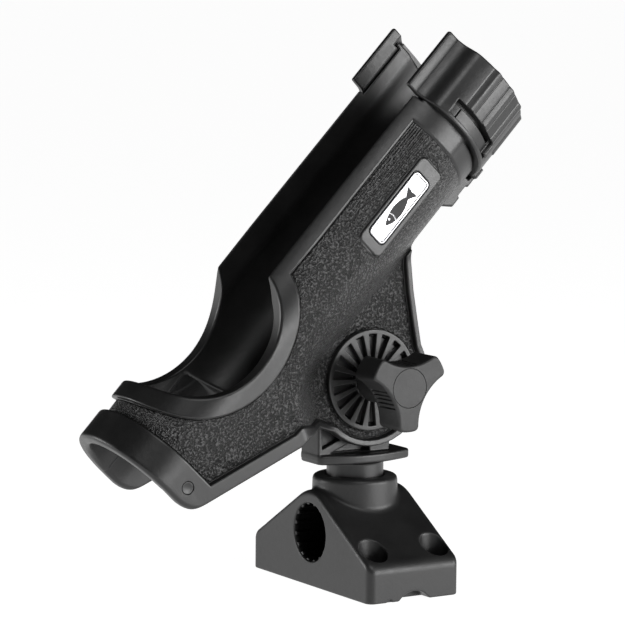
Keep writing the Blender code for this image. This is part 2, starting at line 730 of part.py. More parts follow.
def clamp_knob(parent):
    back = DISC_FACE + GAP + WASHER_THICKNESS + GAP
    lobes = prism(knob_outline(), -KNOB_FACE, -KNOB_FACE + KNOB_LOBE_DEPTH)
    knob = add_object("clamp_knob", lobes, parent, BLACK_NYLON)
    hub = cylinder(KNOB_HUB_RADIUS, -KNOB_FACE + KNOB_LOBE_DEPTH - 2 * MM, -back, 36, "Y")
    join(knob, add_object("knob_hub", hub, parent))
    pocket = prism(hexagon(HEX_FLATS + 2 * GAP), -back - INSERT_LENGTH - 2 * GAP, -back + MM)
    cut(knob, add_object("insert_pocket", pocket, parent))
    hole = cylinder(BOLT_HOLE, -40 * MM, -back + 2 * MM, 24, "Y")
    cut(knob, add_object("knob_hole", hole, parent))
    recess = cylinder(CAP_RADIUS + GAP, -KNOB_FACE - MM, -KNOB_FACE + CAP_THICKNESS + GAP, 40, "Y")
    cut(knob, add_object("cap_recess", recess, parent))
    insert = prism(hexagon(HEX_FLATS), -back - GAP - INSERT_LENGTH, -back - GAP)
    nut = add_object("knob_insert", insert, parent, BRASS)
    thread = cylinder(BOLT_HOLE, -40 * MM, -10 * MM, 24, "Y")
    cut(nut, add_object("insert_thread", thread, parent))
    cap = cylinder(CAP_RADIUS, -KNOB_FACE, -KNOB_FACE + CAP_THICKNESS, 40, "Y")
    add_object("knob_cap", cap, parent, BLACK_NYLON)


# ---------------------------------------------------------------- locking ring


def ring_point(radius, angle):
    """A point at an angle from the open side towards -Y, as (y, n)."""
    return (-radius * math.sin(angle), radius * math.cos(angle))


def turns_from_gap(radius, steps):
    """Angles at even steps from one side of the gap, round the back, to the other side."""
    first = math.asin(RING_GAP_HALF / radius)
    return [first + 2 * (math.pi - first) * k / steps for k in range(steps + 1)]


def ring_outline():
    steps = 76
    outside = turns_from_gap(RING_RADIUS + EAR_RISE, steps)
    inside = reversed(turns_from_gap(RING_BORE, steps))
    return [ring_point(plain_radius(t), t) for t in outside] + [ring_point(RING_BORE, t) for t in inside]


def plain_radius(angle):
    """The ears stand a little proud, with a shallow thumb dish behind each."""
    away = min(angle, 2 * math.pi - angle) - EAR_ANGLE
    away = max(away, 0.0)
    ear = EAR_RISE * (1 - smooth_step(away / EAR_SPAN))
    dish = DISH_DEPTH * math.sin(math.pi * min(away / DISH_SPAN, 1.0)) ** 2
    return RING_RADIUS + ear - dish


def grip_radius(angle):
    """The fluted grip round the lower part of the muzzle end, rooted in the wall at both ends."""
    away = min(angle, 2 * math.pi - angle)
    rise = smooth_step((away - GRIP_ANGLE) / GRIP_FADE)
    flute = 0.5 + 0.5 * math.cos(2 * math.pi * (away - FIRST_FLUTE) / FLUTE_PITCH)
    return plain_radius(angle) + rise * (GRIP_RISE + FLUTE_HEIGHT * flute) - (1 - rise) * GRIP_ROOT


def grip_outline():
    steps = 64
    turns = [GRIP_ANGLE + 2 * (math.pi - GRIP_ANGLE) * k / steps for k in range(steps + 1)]
    inside = [ring_point(RING_BORE + 2.6 * MM, t) for t in reversed(turns)]
    return [ring_point(grip_radius(t), t) for t in turns] + inside


def sector(angles, inside):
    """Part of a ring between two angles, from a radius inside the wall to well outside it."""
    first, last = angles
    turns = [first + (last - first) * k / 10 for k in range(11)]
    outer = [ring_point(RING_RADIUS + 6 * MM, t) for t in reversed(turns)]
    return [ring_point(inside, t) for t in turns] + outer


def locking_ring(ring_frame):
    wall = prism(ring_outline(), RING_START, RING_END, "X")
    ring = add_object("locking_ring", wall, ring_frame, BLACK_NYLON)
    grip = prism(grip_outline(), GRIP_START, RING_END - 0.05 * MM, "X")
    join(ring, add_object("ring_grip", grip, ring_frame))
    lip = cylinder(RING_LIP_BORE, RING_LIP_START, RING_END + MM, 72, "X")
    cut(ring, add_object("ring_lip_groove", lip, ring_frame))
    recess = prism(sector(WINDOW_ANGLES, WINDOW_FLOOR), *WINDOW_U, "X")
    cut(ring, add_object("ring_window", recess, ring_frame))
    slot = prism(sector(SLOT_ANGLES, RING_BORE - 2 * MM), *SLOT_U, "X")
    cut(ring, add_object("ring_slot", slot, ring_frame))
    tooth = [ring_point(RING_RADIUS - 2 * MM, t) for t in STOP_ANGLES]
    tooth += [ring_point(STOP_RADIUS, t) for t in reversed(STOP_ANGLES)]
    stop = prism(tooth, RING_START + GAP, RING_START + GAP + STOP_LENGTH, "X")
    join(ring, add_object("ring_stop", stop, ring_frame))


def main():
    clear_scene()
    base_mount()
    swivel = add_frame("swivel_axis", (0.0, 0.0, 0.0))
    post_arm(swivel)
    pivot_bush(swivel)
    tilt_frame = add_frame("tilt_axis", (0.0, 0.0, PIVOT_Z), TILT)
    cradle_body(tilt_frame)
    for word, side in (("near", -1), ("far", 1)):
        ratchet_disc(f"ratchet_disc_{word}", tilt_frame, side)
        badge(f"badge_{word}", tilt_frame, side)
        end_plug(f"end_plug_{word}", tilt_frame, side)
    knob_frame = add_frame("knob_axis", (0.0, 0.0, PIVOT_Z))
    washer("bolt_washer", knob_frame, 1, STEEL)
    washer("knob_washer", knob_frame, -1, STEEL)
    clamp_bolt(knob_frame)
    clamp_knob(knob_frame)
    ring_frame = add_frame("ring_axis", (0.0, 0.0, AXIS_HEIGHT), 0.0, tilt_frame)
    locking_ring(ring_frame)


main()
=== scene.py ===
"""Looks of the rod holder: fine meshes, materials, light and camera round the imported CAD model.

Shapes are signed distances in millimetres, negative inside, which a surface net turns into
meshes. The cradle and its ring are drawn in the barrel's frame: u runs up the barrel, y across
it, and n from its axis towards its open side.
"""

import json
import math
from concurrent.futures import ThreadPoolExecutor
from functools import reduce

import bpy
import numpy as np
from mathutils import Matrix, Vector


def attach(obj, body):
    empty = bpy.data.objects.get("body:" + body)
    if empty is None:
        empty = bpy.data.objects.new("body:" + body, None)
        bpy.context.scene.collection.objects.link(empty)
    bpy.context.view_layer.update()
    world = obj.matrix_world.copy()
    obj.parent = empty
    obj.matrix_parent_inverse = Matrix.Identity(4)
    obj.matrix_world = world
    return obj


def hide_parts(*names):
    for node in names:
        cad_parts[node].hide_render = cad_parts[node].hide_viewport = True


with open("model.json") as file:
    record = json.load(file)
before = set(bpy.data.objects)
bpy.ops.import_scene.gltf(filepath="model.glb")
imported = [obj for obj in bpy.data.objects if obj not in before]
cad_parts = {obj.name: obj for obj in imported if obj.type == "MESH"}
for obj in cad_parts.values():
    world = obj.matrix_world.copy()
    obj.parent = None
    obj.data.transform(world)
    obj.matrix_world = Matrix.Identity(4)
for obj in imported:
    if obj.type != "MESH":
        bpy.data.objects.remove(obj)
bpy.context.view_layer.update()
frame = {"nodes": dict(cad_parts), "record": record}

MM = 0.001
VOXEL_SCALE = 1.0
SLAB = 10  # rows of a grid worked out at a time

# The driving sizes, in millimetres: the tilt pivot, the barrel above it, and the two sockets.
TILT = math.radians(46.0)
PIVOT_Z = 98.7
AXIS_N = 58.5
BORE = 26.0
SOCKET = 14.06
BOLT_HOLE = 4.3
SPOKES = 18
RATCHET_TEETH = 24
SPLINES = 16
SIDES = ((-1, "near"), (1, "far"))
FAR = 50.0  # stands in for a distance where a shape doesn't reach

# Where each frame of millimetres stands in the scene's metres.
WORLD = Matrix.Scale(MM, 4)
PIVOT = WORLD @ Matrix.Translation((0, 0, PIVOT_Z))
BARREL_AXIS = PIVOT @ Matrix.Rotation(-TILT, 4, "Y") @ Matrix.Translation((0, 0, AXIS_N))


# ---------------------------------------------------------------- distances


def smax(a, b, k):
    """The larger of two distances: an intersection, with its edge rounded over about k."""
    h = np.maximum(k - np.abs(a - b), 0.0)
    return np.maximum(a, b) + h * h / (4.0 * k)


def smin(a, b, k):
    """The smaller of two distances: a union, with a fillet of about k."""
    h = np.maximum(k - np.abs(a - b), 0.0)
    return np.minimum(a, b) - h * h / (4.0 * k)


def cut(a, b, k):
    """The first shape with the second taken out of it."""
    return smax(a, -b, k)


def most(*distances):
    """The largest of some distances: an intersection with sharp edges."""
    return reduce(np.maximum, distances)


def least(*distances):
    """The smallest of some distances: a union with sharp edges."""
    return reduce(np.minimum, distances)


def within(value, low, high):
    """Distance to the slab between two planes."""
    return np.maximum(low - value, value - high)


def ease(t):
    """A smooth step, from 0 at 0 to 1 at 1."""
    t = np.clip(t, 0.0, 1.0)
    return t * t * (3.0 - 2.0 * t)


def rounded_box(a, b, half_a, half_b, radius):
    """Distance to a rectangle with round corners, in a plane."""
    qa = np.abs(a) - (half_a - radius)
    qb = np.abs(b) - (half_b - radius)
    outside = np.hypot(np.maximum(qa, 0.0), np.maximum(qb, 0.0))
    return outside + np.minimum(np.maximum(qa, qb), 0.0) - radius


def outline(points, a, b):
    """Distance to a closed outline in a plane."""
    nearest = None
    inside = None
    for (a0, b0), (a1, b1) in zip(points, points[1:] + points[:1]):
        ea, eb = a1 - a0, b1 - b0
        pa, pb = a - a0, b - b0
        t = np.clip((pa * ea + pb * eb) / (ea * ea + eb * eb), 0.0, 1.0)
        gap = (pa - ea * t) ** 2 + (pb - eb * t) ** 2
        nearest = gap if nearest is None else np.minimum(nearest, gap)
        if eb != 0.0:
            crossed = ((b >= b0) != (b >= b1)) & (pa < pb * (ea / eb))
            inside = crossed if inside is None else inside ^ crossed
    return np.where(inside, -1.0, 1.0) * np.sqrt(nearest)


def turned_to(angle, pitch, offset=0.0):
    """The angle from the middle of the nearest of a ring of repeats."""
    return (angle - offset + pitch / 2) % pitch - pitch / 2


# ---------------------------------------------------------------- distances to meshes


def sampled(field, low, high, step):
    """The distance at every point of a grid, worked out in slabs."""
    axes = []
    for first, last in zip(low, high):
        count = int(math.ceil((last - first) / step)) + 1
        axes.append((first + step * np.arange(count)).astype(np.float32))
    x, y, z = axes[0][:, None, None], axes[1][None, :, None], axes[2][None, None, :]
    values = np.empty([len(axis) for axis in axes], np.float32)

    def fill(first):
        rows = slice(first, first + SLAB)
        values[rows] = field(x[rows], y, z)

    with ThreadPoolExecutor(4) as pool:
        list(pool.map(fill, range(0, len(axes[0]), SLAB)))
    return values


def surface_net(values):
    """One point in each cell that the surface crosses, and a quad round each crossed grid edge."""
    inside = values < 0.0
    count = np.zeros([n - 1 for n in values.shape], np.uint8)
    corners = [(i, j, k) for i in (0, 1) for j in (0, 1) for k in (0, 1)]
    for i, j, k in corners:
        count += inside[i : i - 1 or None, j : j - 1 or None, k : k - 1 or None]
    crossed = (count > 0) & (count < 8)
    index = np.full(crossed.shape, -1, np.int32)
    at = np.argwhere(crossed)
    index[crossed] = np.arange(len(at))
    total = np.zeros((len(at), 3))
    hits = np.zeros(len(at))
    for a in corners:
        for axis in range(3):
            if a[axis]:
                continue
            b = [c + (i == axis) for i, c in enumerate(a)]
            va = values[tuple((at + a).T)]
            vb = values[tuple((at + b).T)]
            change = (va < 0.0) != (vb < 0.0)
            share = np.where(change, va / np.where(change, va - vb, 1.0), 0.0)
            spot = np.array(a, float) + share[:, None] * (np.arange(3) == axis)
            total += np.where(change[:, None], spot, 0.0)
            hits += change
    points = at + total / hits[:, None]
    quads = []
    for axis in range(3):
        b, c = np.eye(3, dtype=int)[(axis + 1) % 3], np.eye(3, dtype=int)[(axis + 2) % 3]
        window = [slice(1, -1)] * 3
        window[axis] = slice(0, -1)
        after = list(window)
        after[axis] = slice(1, None)
        here, there = inside[tuple(window)], inside[tuple(after)]
        start = np.ones(3, int) - np.eye(3, dtype=int)[axis]
        for change, order in ((here & ~there, (3, 2, 0, 1)), (there & ~here, (1, 0, 2, 3))):
            e = np.argwhere(change) + start
            around = [index[tuple(spot.T)] for spot in (e, e - b, e - c, e - b - c)]
            quads.append(np.stack([around[i] for i in order], 1))
    return points, np.concatenate(quads)


def slope(field, points, reach):
    """The distance at each point and its gradient."""
    x, y, z = points.T
    value = field(x, y, z)
    gradient = np.stack(
        [
            field(x + reach, y, z) - field(x - reach, y, z),
            field(x, y + reach, z) - field(x, y - reach, z),
            field(x, y, z + reach) - field(x, y, z - reach),
        ],
        1,
    ) / (2.0 * reach)
    return value, gradient


def pulled(field, points, step):
    """The points moved onto the surface."""
    for _ in range(2):
        value, gradient = slope(field, points, 0.05)
        steep = np.maximum((gradient**2).sum(1), 0.2)
        move = gradient * (value / steep)[:, None]
        length = np.maximum(np.linalg.norm(move, axis=1), 1e-9)
        points = points - move * np.minimum(1.0, 0.5 * step / length)[:, None]
    return points


def bent(field, points, reach=0.5):
    """How sharply the surface curves at each point: above 0 on edges, below 0 in corners."""
    x, y, z = points.T
    around = field(x + reach, y, z) + field(x - reach, y, z)
    around = around + field(x, y + reach, z) + field(x, y - reach, z)
    around = around + field(x, y, z + reach) + field(x, y, z - reach)
    return (around - 6.0 * field(x, y, z)) / reach**2


def mesh_of(name, points, faces):
    """A mesh whose faces all have the same number of sides."""
    mesh = bpy.data.meshes.new(name)
    mesh.vertices.add(len(points))
    mesh.vertices.foreach_set("co", points.astype(np.float32).ravel())
    mesh.loops.add(faces.size)
    mesh.loops.foreach_set("vertex_index", faces.astype(np.int32).ravel())
    mesh.polygons.add(len(faces))
    sides = faces.shape[1]
    mesh.polygons.foreach_set("loop_start", np.arange(0, faces.size, sides, dtype=np.int32))
    mesh.update(calc_edges=True)
    return mesh


def transformed(points, matrix):
    m = np.array(matrix)
    return points @ m[:3, :3].T + m[:3, 3]


def placed(name, mesh, material, body, nodes):
    """Puts a finished mesh in the scene, on its body and in place of its CAD nodes."""
    piece = bpy.data.objects.new(name, mesh)
    bpy.context.scene.collection.objects.link(piece)
    mesh.materials.append(material)
    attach(piece, body)
    if nodes:
        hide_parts(*nodes)
    return piece


def cast(name, field, low, high, step, place, faces, material, body, nodes, marks=None):
    """A piece from its distance: the net, thinned to about so many triangles, with exact normals.

    marks gives further point attributes for the material, from points in the piece's frame.
    """
    step *= VOXEL_SCALE
    points, quads = surface_net(sampled(field, low, high, step))
    points = pulled(field, np.array(low) + points * step, step)
    mesh = mesh_of(name + "_net", transformed(points, place), quads)
    share = faces / (2.0 * len(quads))
    if share < 1.0:
        draft = bpy.data.objects.new(name + "_draft", mesh)
        bpy.context.scene.collection.objects.link(draft)
        thin = draft.modifiers.new("thin", "DECIMATE")
        thin.ratio = share
        graph = bpy.context.evaluated_depsgraph_get()
        thinned = bpy.data.meshes.new_from_object(draft.evaluated_get(graph))
        bpy.data.objects.remove(draft)
        bpy.data.meshes.remove(mesh)
        mesh = thinned
    mesh.name = name
    co = np.empty(len(mesh.vertices) * 3, np.float32)
    mesh.vertices.foreach_get("co", co)
    spots = transformed(co.reshape(-1, 3).astype(float), place.inverted())
    _, gradient = slope(field, spots, 0.12)
    normals = gradient @ np.array(place)[:3, :3].T
    normals /= np.maximum(np.linalg.norm(normals, axis=1), 1e-12)[:, None]
    mesh.shade_smooth()
    mesh.normals_split_custom_set_from_vertices(normals.tolist())
    # edge marks convex edges, which the nylon lightens: partly as rubbing wear, partly as a
    # painted highlight.
    layers = {"edge": np.clip(bent(field, spots) * 0.55, 0.0, 1.0)}
    # hollow marks creases and corners, which the nylon darkens as painted shade.
    layers["hollow"] = np.clip(-bent(field, spots, 0.8) * 0.5, 0.0, 1.0)
    if marks:
        layers.update(marks(*spots.T))
    for key, layer in layers.items():
        attribute = mesh.attributes.new(key, "FLOAT", "POINT")
        attribute.data.foreach_set("value", layer.astype(np.float32))
    return placed(name, mesh, material, body, nodes)


# ---------------------------------------------------------------- materials


class Nodes:
    """Short calls for building one material's nodes."""

    def __init__(self, name):
        self.material = bpy.data.materials.new(name)
        self.material.use_nodes = True
        self.tree = self.material.node_tree
        self.shader = self.tree.nodes["Principled BSDF"]

    def add(self, kind, settings=None, **inputs):
        """A new node. An input is given by its name, or as i0, i1 and so on by its place."""
        node = self.tree.nodes.new(kind)
        for key, value in (settings or {}).items():
            setattr(node, key, value)
        for key, value in inputs.items():
            numbered = key[0] == "i" and key[1:].isdigit()
            self.put(node.inputs[int(key[1:]) if numbered else key], value)
        return node

    def put(self, socket, value):
        """Links a socket to another node's output, or sets it to a value."""
        if isinstance(value, bpy.types.NodeSocket):
            self.tree.links.new(value, socket)
        else:
            socket.default_value = value

    def coords(self):
        return self.add("ShaderNodeTexCoord").outputs["Object"]

    def stretched(self, vector, scale):
        return self.add("ShaderNodeMapping", Vector=vector, Scale=scale).outputs["Vector"]

    def noise(self, vector, scale, detail, roughness):
        settings = {"Vector": vector, "Scale": scale, "Detail": detail, "Roughness": roughness}
        return self.add("ShaderNodeTexNoise", **settings).outputs["Fac"]

    def math(self, operation, a, b=0.0):
        return self.add("ShaderNodeMath", {"operation": operation}, i0=a, i1=b).outputs[0]

    def ramp(self, value, low, high, to_low=0.0, to_high=1.0):
        """The value, with the range from low to high spread over that from to_low to to_high."""
        node = self.add("ShaderNodeMapRange", Value=value)
        for socket, number in zip(node.inputs[1:5], (low, high, to_low, to_high)):
            socket.default_value = number
        return node.outputs["Result"]

    def blend(self, share, a, b):
        """The colour a, changed to b by so large a share."""
        node = self.add("ShaderNodeMix", {"data_type": "RGBA"})
        self.put(node.inputs[0], share)
        self.put(node.inputs[6], a)
        self.put(node.inputs[7], b)
        return node.outputs[2]

    def layer(self, name):
        """A point attribute that cast gave the mesh. It is 0 where the mesh has none."""
        return self.add("ShaderNodeAttribute", {"attribute_name": name}).outputs["Fac"]

    def bump(self, height, strength, distance, before=None):
        node = self.add("ShaderNodeBump", Strength=strength, Distance=distance, Height=height)
        if before:
            self.put(node.inputs["Normal"], before)
        return node.outputs["Normal"]

    def finish(self, **inputs):
        """Sets the shader's inputs, whose names have _ for a space, and gives the material."""
        for key, value in inputs.items():
            self.put(self.shader.inputs[key.replace("_", " ")], value)
        return self.material


def grey(level, blue=None):
    """An opaque grey, with its blue a little apart from the rest where given."""
    return (level, level, level if blue is None else blue, 1.0)


def nylon(name, tone=0.010, sheen_rough=0.38, grained=False):
    """Moulded glass-filled nylon: satin where smooth, pebbled where the mould was grained."""
    n = Nodes(name)
    spot = n.coords()
    cloud = n.noise(spot, 55.0, 5.0, 0.6)
    speck = n.noise(spot, 2600.0, 2.0, 0.5)
    flow = n.noise(spot, 420.0, 3.0, 0.6)
    edge = n.layer("edge")
    hollow = n.layer("hollow")
    shade = n.layer("shade")
    # A paler tone: for worn edges with their painted highlight, and for random mottling.
    pale_wear_and_highlight = grey(tone * 2.6)
    # A darker tone: painted shade in creases and corners, and the grained panels' deeper tone.
    shade_and_grain_dark = grey(tone * 0.45)
    smooth_rough = n.ramp(cloud, 0.3, 0.7, sheen_rough - 0.03, sheen_rough + 0.05)
    rough = n.math("ADD", smooth_rough, n.ramp(flow, 0.3, 0.7, -0.02, 0.03))
    colour = n.blend(n.ramp(cloud, 0.35, 0.65), grey(tone * 0.86, tone * 0.88), grey(tone * 1.18))
    # Convex edges are lightened: partly real rubbing wear, partly a painted highlight along
    # rounded edges.
    worn_and_highlit_edges = n.math("MULTIPLY", edge, n.ramp(flow, 0.3, 0.75, 0.1, 0.75))
    colour = n.blend(worn_and_highlit_edges, colour, pale_wear_and_highlight)
    # Painted shade: creases and corners, where hollow is high, are darkened.
    colour = n.blend(n.math("MULTIPLY", hollow, 0.6), colour, shade_and_grain_dark)
    colour = n.blend(shade, colour, grey(0.001))
    mottle = n.ramp(n.noise(spot, 900.0, 2.0, 0.6), 0.4, 0.7)
    colour = n.blend(n.math("MULTIPLY", mottle, sheen_rough - 0.3), colour, pale_wear_and_highlight)
    normal = n.bump(flow, 0.09, 0.0005, n.bump(speck, 0.14, 0.00016))
    if grained:
        grain = n.layer("grain")
        crumb = n.noise(spot, 960.0, 2.0, 0.6)
        normal = n.bump(n.math("MULTIPLY", crumb, grain), 1.0, 0.0021, normal)
        rough = n.math("ADD", rough, n.math("MULTIPLY", grain, -0.03))
        # Painted glints: the crests of the fine grain noise are coloured pale, standing in for
        # light sparkling on the pebbled panels.
        crest = n.math("MULTIPLY", grain, n.ramp(crumb, 0.5, 0.64))
        colour = n.blend(n.math("MULTIPLY", grain, 0.7), colour, shade_and_grain_dark)
        colour = n.blend(crest, colour, grey(tone * 11.0))
    shine = n.ramp(shade, 0.0, 1.0, 0.5, 0.06)
    return n.finish(
        Base_Color=colour, Roughness=rough, Normal=normal, IOR=1.53, Specular_IOR_Level=shine
    )


def metal(name, colour, rough):
    """A turned or stamped metal, with fine streaks and a little tarnish."""
    n = Nodes(name)
    spot = n.coords()
    brushed = n.noise(n.stretched(spot, (1.0, 8.0, 1.0)), 900.0, 3.0, 0.6)
    cloud = n.noise(spot, 160.0, 4.0, 0.6)
    tarnish = tuple(c * 0.72 for c in colour) + (1.0,)
    tint = n.blend(n.ramp(cloud, 0.35, 0.7), colour + (1.0,), tarnish)
    roughness = n.ramp(brushed, 0.3, 0.7, rough - 0.06, rough + 0.1)
    normal = n.bump(brushed, 0.12, 0.00008)
    return n.finish(Base_Color=tint, Roughness=roughness, Normal=normal, Metallic=1.0)


def badge_metal(name):
    """Bright brushed metal, printed dark where the mesh's ink is 1."""
    n = Nodes(name)
    spot = n.coords()
    brushed = n.noise(n.stretched(spot, (1.0, 1.0, 9.0)), 700.0, 3.0, 0.6)
    cloud = n.noise(spot, 90.0, 2.0, 0.5)
    ink = n.layer("ink")
    plate = n.blend(n.ramp(cloud, 0.35, 0.65), grey(0.66, 0.67), grey(0.44, 0.46))
    colour = n.blend(ink, plate, grey(0.006, 0.007))
    rough = n.math("ADD", n.ramp(brushed, 0.3, 0.7, 0.26, 0.38), n.ramp(ink, 0.0, 1.0, 0.0, 0.3))
    normal = n.bump(n.math("SUBTRACT", 1.0, ink), 0.6, 0.00025, n.bump(brushed, 0.1, 0.00006))
    metallic = n.ramp(ink, 0.0, 1.0, 1.0, 0.0)
    return n.finish(Base_Color=colour, Roughness=rough, Normal=normal, Metallic=metallic)


def floor_white(name):
    """A white floor that shines softly, as a lit studio sweep does."""
    n = Nodes(name)
    speck = n.noise(n.coords(), 30.0, 4.0, 0.55)
    white = n.blend(n.ramp(speck, 0.3, 0.7), grey(0.30), grey(0.31))
    lit = {"Emission_Color": grey(1.0), "Emission_Strength": 0.97}
    return n.finish(Base_Color=white, Roughness=0.9, **lit)


BLACK = nylon("black_nylon_satin", sheen_rough=0.36)
GRAINED = nylon("black_nylon_grained", sheen_rough=0.37, grained=True)
MATT = nylon("black_nylon_matt", tone=0.012, sheen_rough=0.42)
ROUGH = nylon("black_nylon_rough", sheen_rough=0.5)
STEEL = metal("brushed_stainless", (0.62, 0.62, 0.63), 0.28)
BRASS = metal("knurled_brass", (0.72, 0.53, 0.24), 0.32)
BADGE = badge_metal("badge_plate")


# ---------------------------------------------------------------- cradle

# Stations up the barrel, radii and half widths of the walls, and (u, n) places.
LOW_END = -112.9
COLLAR_END = 107.8
NECK_END = 139.6
PANEL_RADIUS = 32.75
BAND_RADIUS = 33.35
PANEL_CHEEK = 12.1
BAND_CHEEK = 14.9
SLOT_HALF = 22.6
NECK_RADIUS = 31.4
MOUTH_RADIUS = 39.5
MOUTH_RIM = 48.9
CHEEK_RADIUS = 31.7
DISC_SEAT = 24.75
DRUM_SEAT = 21.05
MOUTH = (-41.0, 41.5)
PLUG = (-105.0, -6.6)
BADGE_MIDDLE = (60.75, -2.0)
PAD_MIDDLE = (61.75, -2.5)

# The keel's outline seen from the side, as (u, n): along the heel, round the pivot and up the web.
KEEL_ARC = [
    (CHEEK_RADIUS * math.cos(t), CHEEK_RADIUS * math.sin(t) - AXIS_N)
    for t in (math.radians(-178.0 + 161.0 * k / 20) for k in range(21))
]
KEEL = [
    (-140.0, -5.0),
    (-53.0, -40.75),
    (-47.5, -41.2),
    (-36.5, -49.2),
    *KEEL_ARC,
    (37.2, -58.1),
    (46.1, -45.9),
    (54.7, -35.6),
    (62.0, -27.0),
    (200.0, -27.0),
    (200.0, 60.0),
    (-140.0, 60.0),
]


def drop(u):
    """How far down the barrel's taper a place is, from 0 near the top to 1 at the low end."""
    return np.clip((20.0 - u) / 125.0, 0.0, 1.0)


def flare(u, n, start=29.0, end=54.0):
    """0 on the cheeks round the pivot, rising to 1 on the flanks."""
    w = n + AXIS_N
    away = np.where(u < 0.0, np.hypot(np.minimum(u, 0.0), w), np.abs(w))
    return ease((away - start) / (end - start))


def cheek_wall(u, n):
    """How far the cradle's walls stand apart inside: close at the cheeks, the bore higher up."""
    return 9.0 + (BORE - 9.0) * flare(u, n, 32.0, 57.0)


def keel_gap(u, n):
    return outline(KEEL, u, n)


def mouth_gap(u, n, radius):
    """Distance to a circle about the middle of the mouth that the rod's butt drops through."""
    return np.hypot(u - MOUTH[0], n - MOUTH[1]) - radius


def from_plug(u, n):
    """Distance from the middle of the low end's plugs."""
    return np.hypot(u - PLUG[0], n - PLUG[1])


def badge_gap(u, n, margin):
    along, across = u - BADGE_MIDDLE[0], n - BADGE_MIDDLE[1]
    return rounded_box(along, across, 19.1 + margin, 5.3 + margin, 2.4 + margin)


def pad_gap(u, n):
    """Distance to the raised pad under the badge."""
    return rounded_box(u - PAD_MIDDLE[0], n - PAD_MIDDLE[1], 25.75, 7.6, 3.0)


def bands(u, n, keel):
    """Negative where the surface is a smooth raised band, and positive on the grained panels."""
    arch = u + 96.5
    rim = mouth_gap(u, n, MOUTH_RIM)
    lip = np.maximum(18.0 - n, -20.0 - u)
    collar = 97.2 - u
    half_width = 1.35 + 1.95 * np.clip((-40.0 - u) / 7.0, 0.0, 1.0)
    edge = np.abs(keel + half_width) - half_width - 0.6
    edge = np.maximum(edge, np.where(u > 0.0, n + 31.0, -FAR))
    return least(arch, rim, lip, collar, edge)


def skin(u, y, n, keel, raised):
    """The cradle's outside before any opening, at the level of the panels or of the bands."""
    if raised:
        radius, cheek = BAND_RADIUS - 1.0 * drop(u), BAND_CHEEK
    else:
        radius, cheek = PANEL_RADIUS - 3.7 * drop(u), PANEL_CHEEK
    half = cheek + (radius - cheek) * flare(u, n)
    side = np.hypot(y, np.maximum(n, 0.0)) - half
    tube = np.hypot(y, n) - radius
    floor = smax(u + 52.0 + 0.25 * n, n, 2.0)
    tube = smax(smax(tube, -floor, 1.0), u - COLLAR_END, 1.2)
    side = side * (0.74 + 0.26 * ease((n + 20.0) / 20.0))
    plate = smax(side, keel, 1.2)
    plate = smax(plate, 0.74 * (cheek_wall(u, n) - np.abs(y)), 1.2)
    fillet = 0.02 + 4.5 * ease((-n - 6.0) / 14.0)
    return smin(tube, plate, fillet)


def lug(u, y, n):
    """The wedge under the collar, with the finger that stops the ring."""
    wedge = [(83.5, -29.0), (91.8, -39.3)]
    finger = [(112.2, -39.3), (112.2, -36.6), (107.4, -36.6), (107.4, -29.0)]
    shape = outline(wedge + finger, u, n)
    notch = rounded_box(u - 101.0, n + 39.3, 3.4, 1.5, 0.6)
    return cut(smax(shape, np.abs(y) - 7.0, 1.2), notch, 0.5)


def cradle(u, y, n):
    """The moulding: skin, pads, neck and lug, then the bore, mouth, cheeks and small recesses."""
    keel = keel_gap(u, n)
    lower = skin(u, y, n, keel, False)
    upper = smax(skin(u, y, n, keel, True), bands(u, n, keel), 1.0)
    body = smin(lower, upper, 0.7)
    across = np.abs(y)
    pad = smax(pad_gap(u, n), within(across, 24.0, 33.4), 0.8)
    body = smin(body, pad, 0.9)

    radius = np.hypot(y, n)
    neck = smax(radius - NECK_RADIUS, within(u, 95.0, NECK_END), 1.0)
    lip = smax(radius - NECK_RADIUS - 1.8, within(u, NECK_END - 2.6, NECK_END), 0.8)
    body = smin(smin(body, smin(neck, lip, 0.5), 0.4), lug(u, y, n), 1.2)
    heel = np.where(u < -97.0, smax(LOW_END - u, keel - 2.2, 11.0), -FAR)
    body = smax(body, heel, 2.2)

    body = cut(body, radius - BORE, 2.2)
    slot = most(across - SLOT_HALF, 8.0 - n, MOUTH[0] - u)
    body = cut(body, np.minimum(slot, mouth_gap(u, n, MOUTH_RADIUS)), 1.3)
    from_pivot = np.hypot(u, n + AXIS_N)
    seat = np.maximum(from_pivot - DISC_SEAT, 11.5 - across)
    body = cut(body, np.minimum(seat, from_pivot - DRUM_SEAT), 0.5)
    recess = np.maximum(badge_gap(u, n, 0.35), 32.6 - across)
    body = cut(body, recess, 0.4)
    plug_hole = np.maximum(from_plug(u, n) - 3.05, 27.4 - across)
    return cut(body, plug_hole, 0.2)


def cradle_marks(u, y, n):
    """Where the mould was grained: the panels' outer faces."""
    keel = keel_gap(u, n)
    outer = np.abs(skin(u, y, n, keel, False))
    grain = ease((1.3 - outer) / 0.6) * ease((bands(u, n, keel) - 0.5) / 0.6)
    grain *= ease((pad_gap(u, n) - 0.4) / 0.8)
    grain *= np.hypot(y, n) > BORE + 1.0
    grain *= (np.abs(y) > cheek_wall(u, n) + 1.0) | (n > -1.0) | (u > 60.0)
    return {"grain": grain}


cast(
    "cradle_shell", cradle, (-114.0, -36.0, -92.6), (142.0, 36.0, 36.0),
    0.55, BARREL_AXIS, 190000, GRAINED, "cradle", ["cradle_body"], cradle_marks,
)


# ---------------------------------------------------------------- discs, badges and plugs


def span(side, low, high):
    """The lowest and highest y of what lies so far out on one side."""
    return sorted((side * low, side * high))


def ratchet(angle, count):
    """A row of radial teeth: 0 along each tooth's middle, rising to 1 halfway to the next."""
    pitch = 2 * math.pi / count
    return np.abs(turned_to(angle, pitch)) / (pitch / 2)


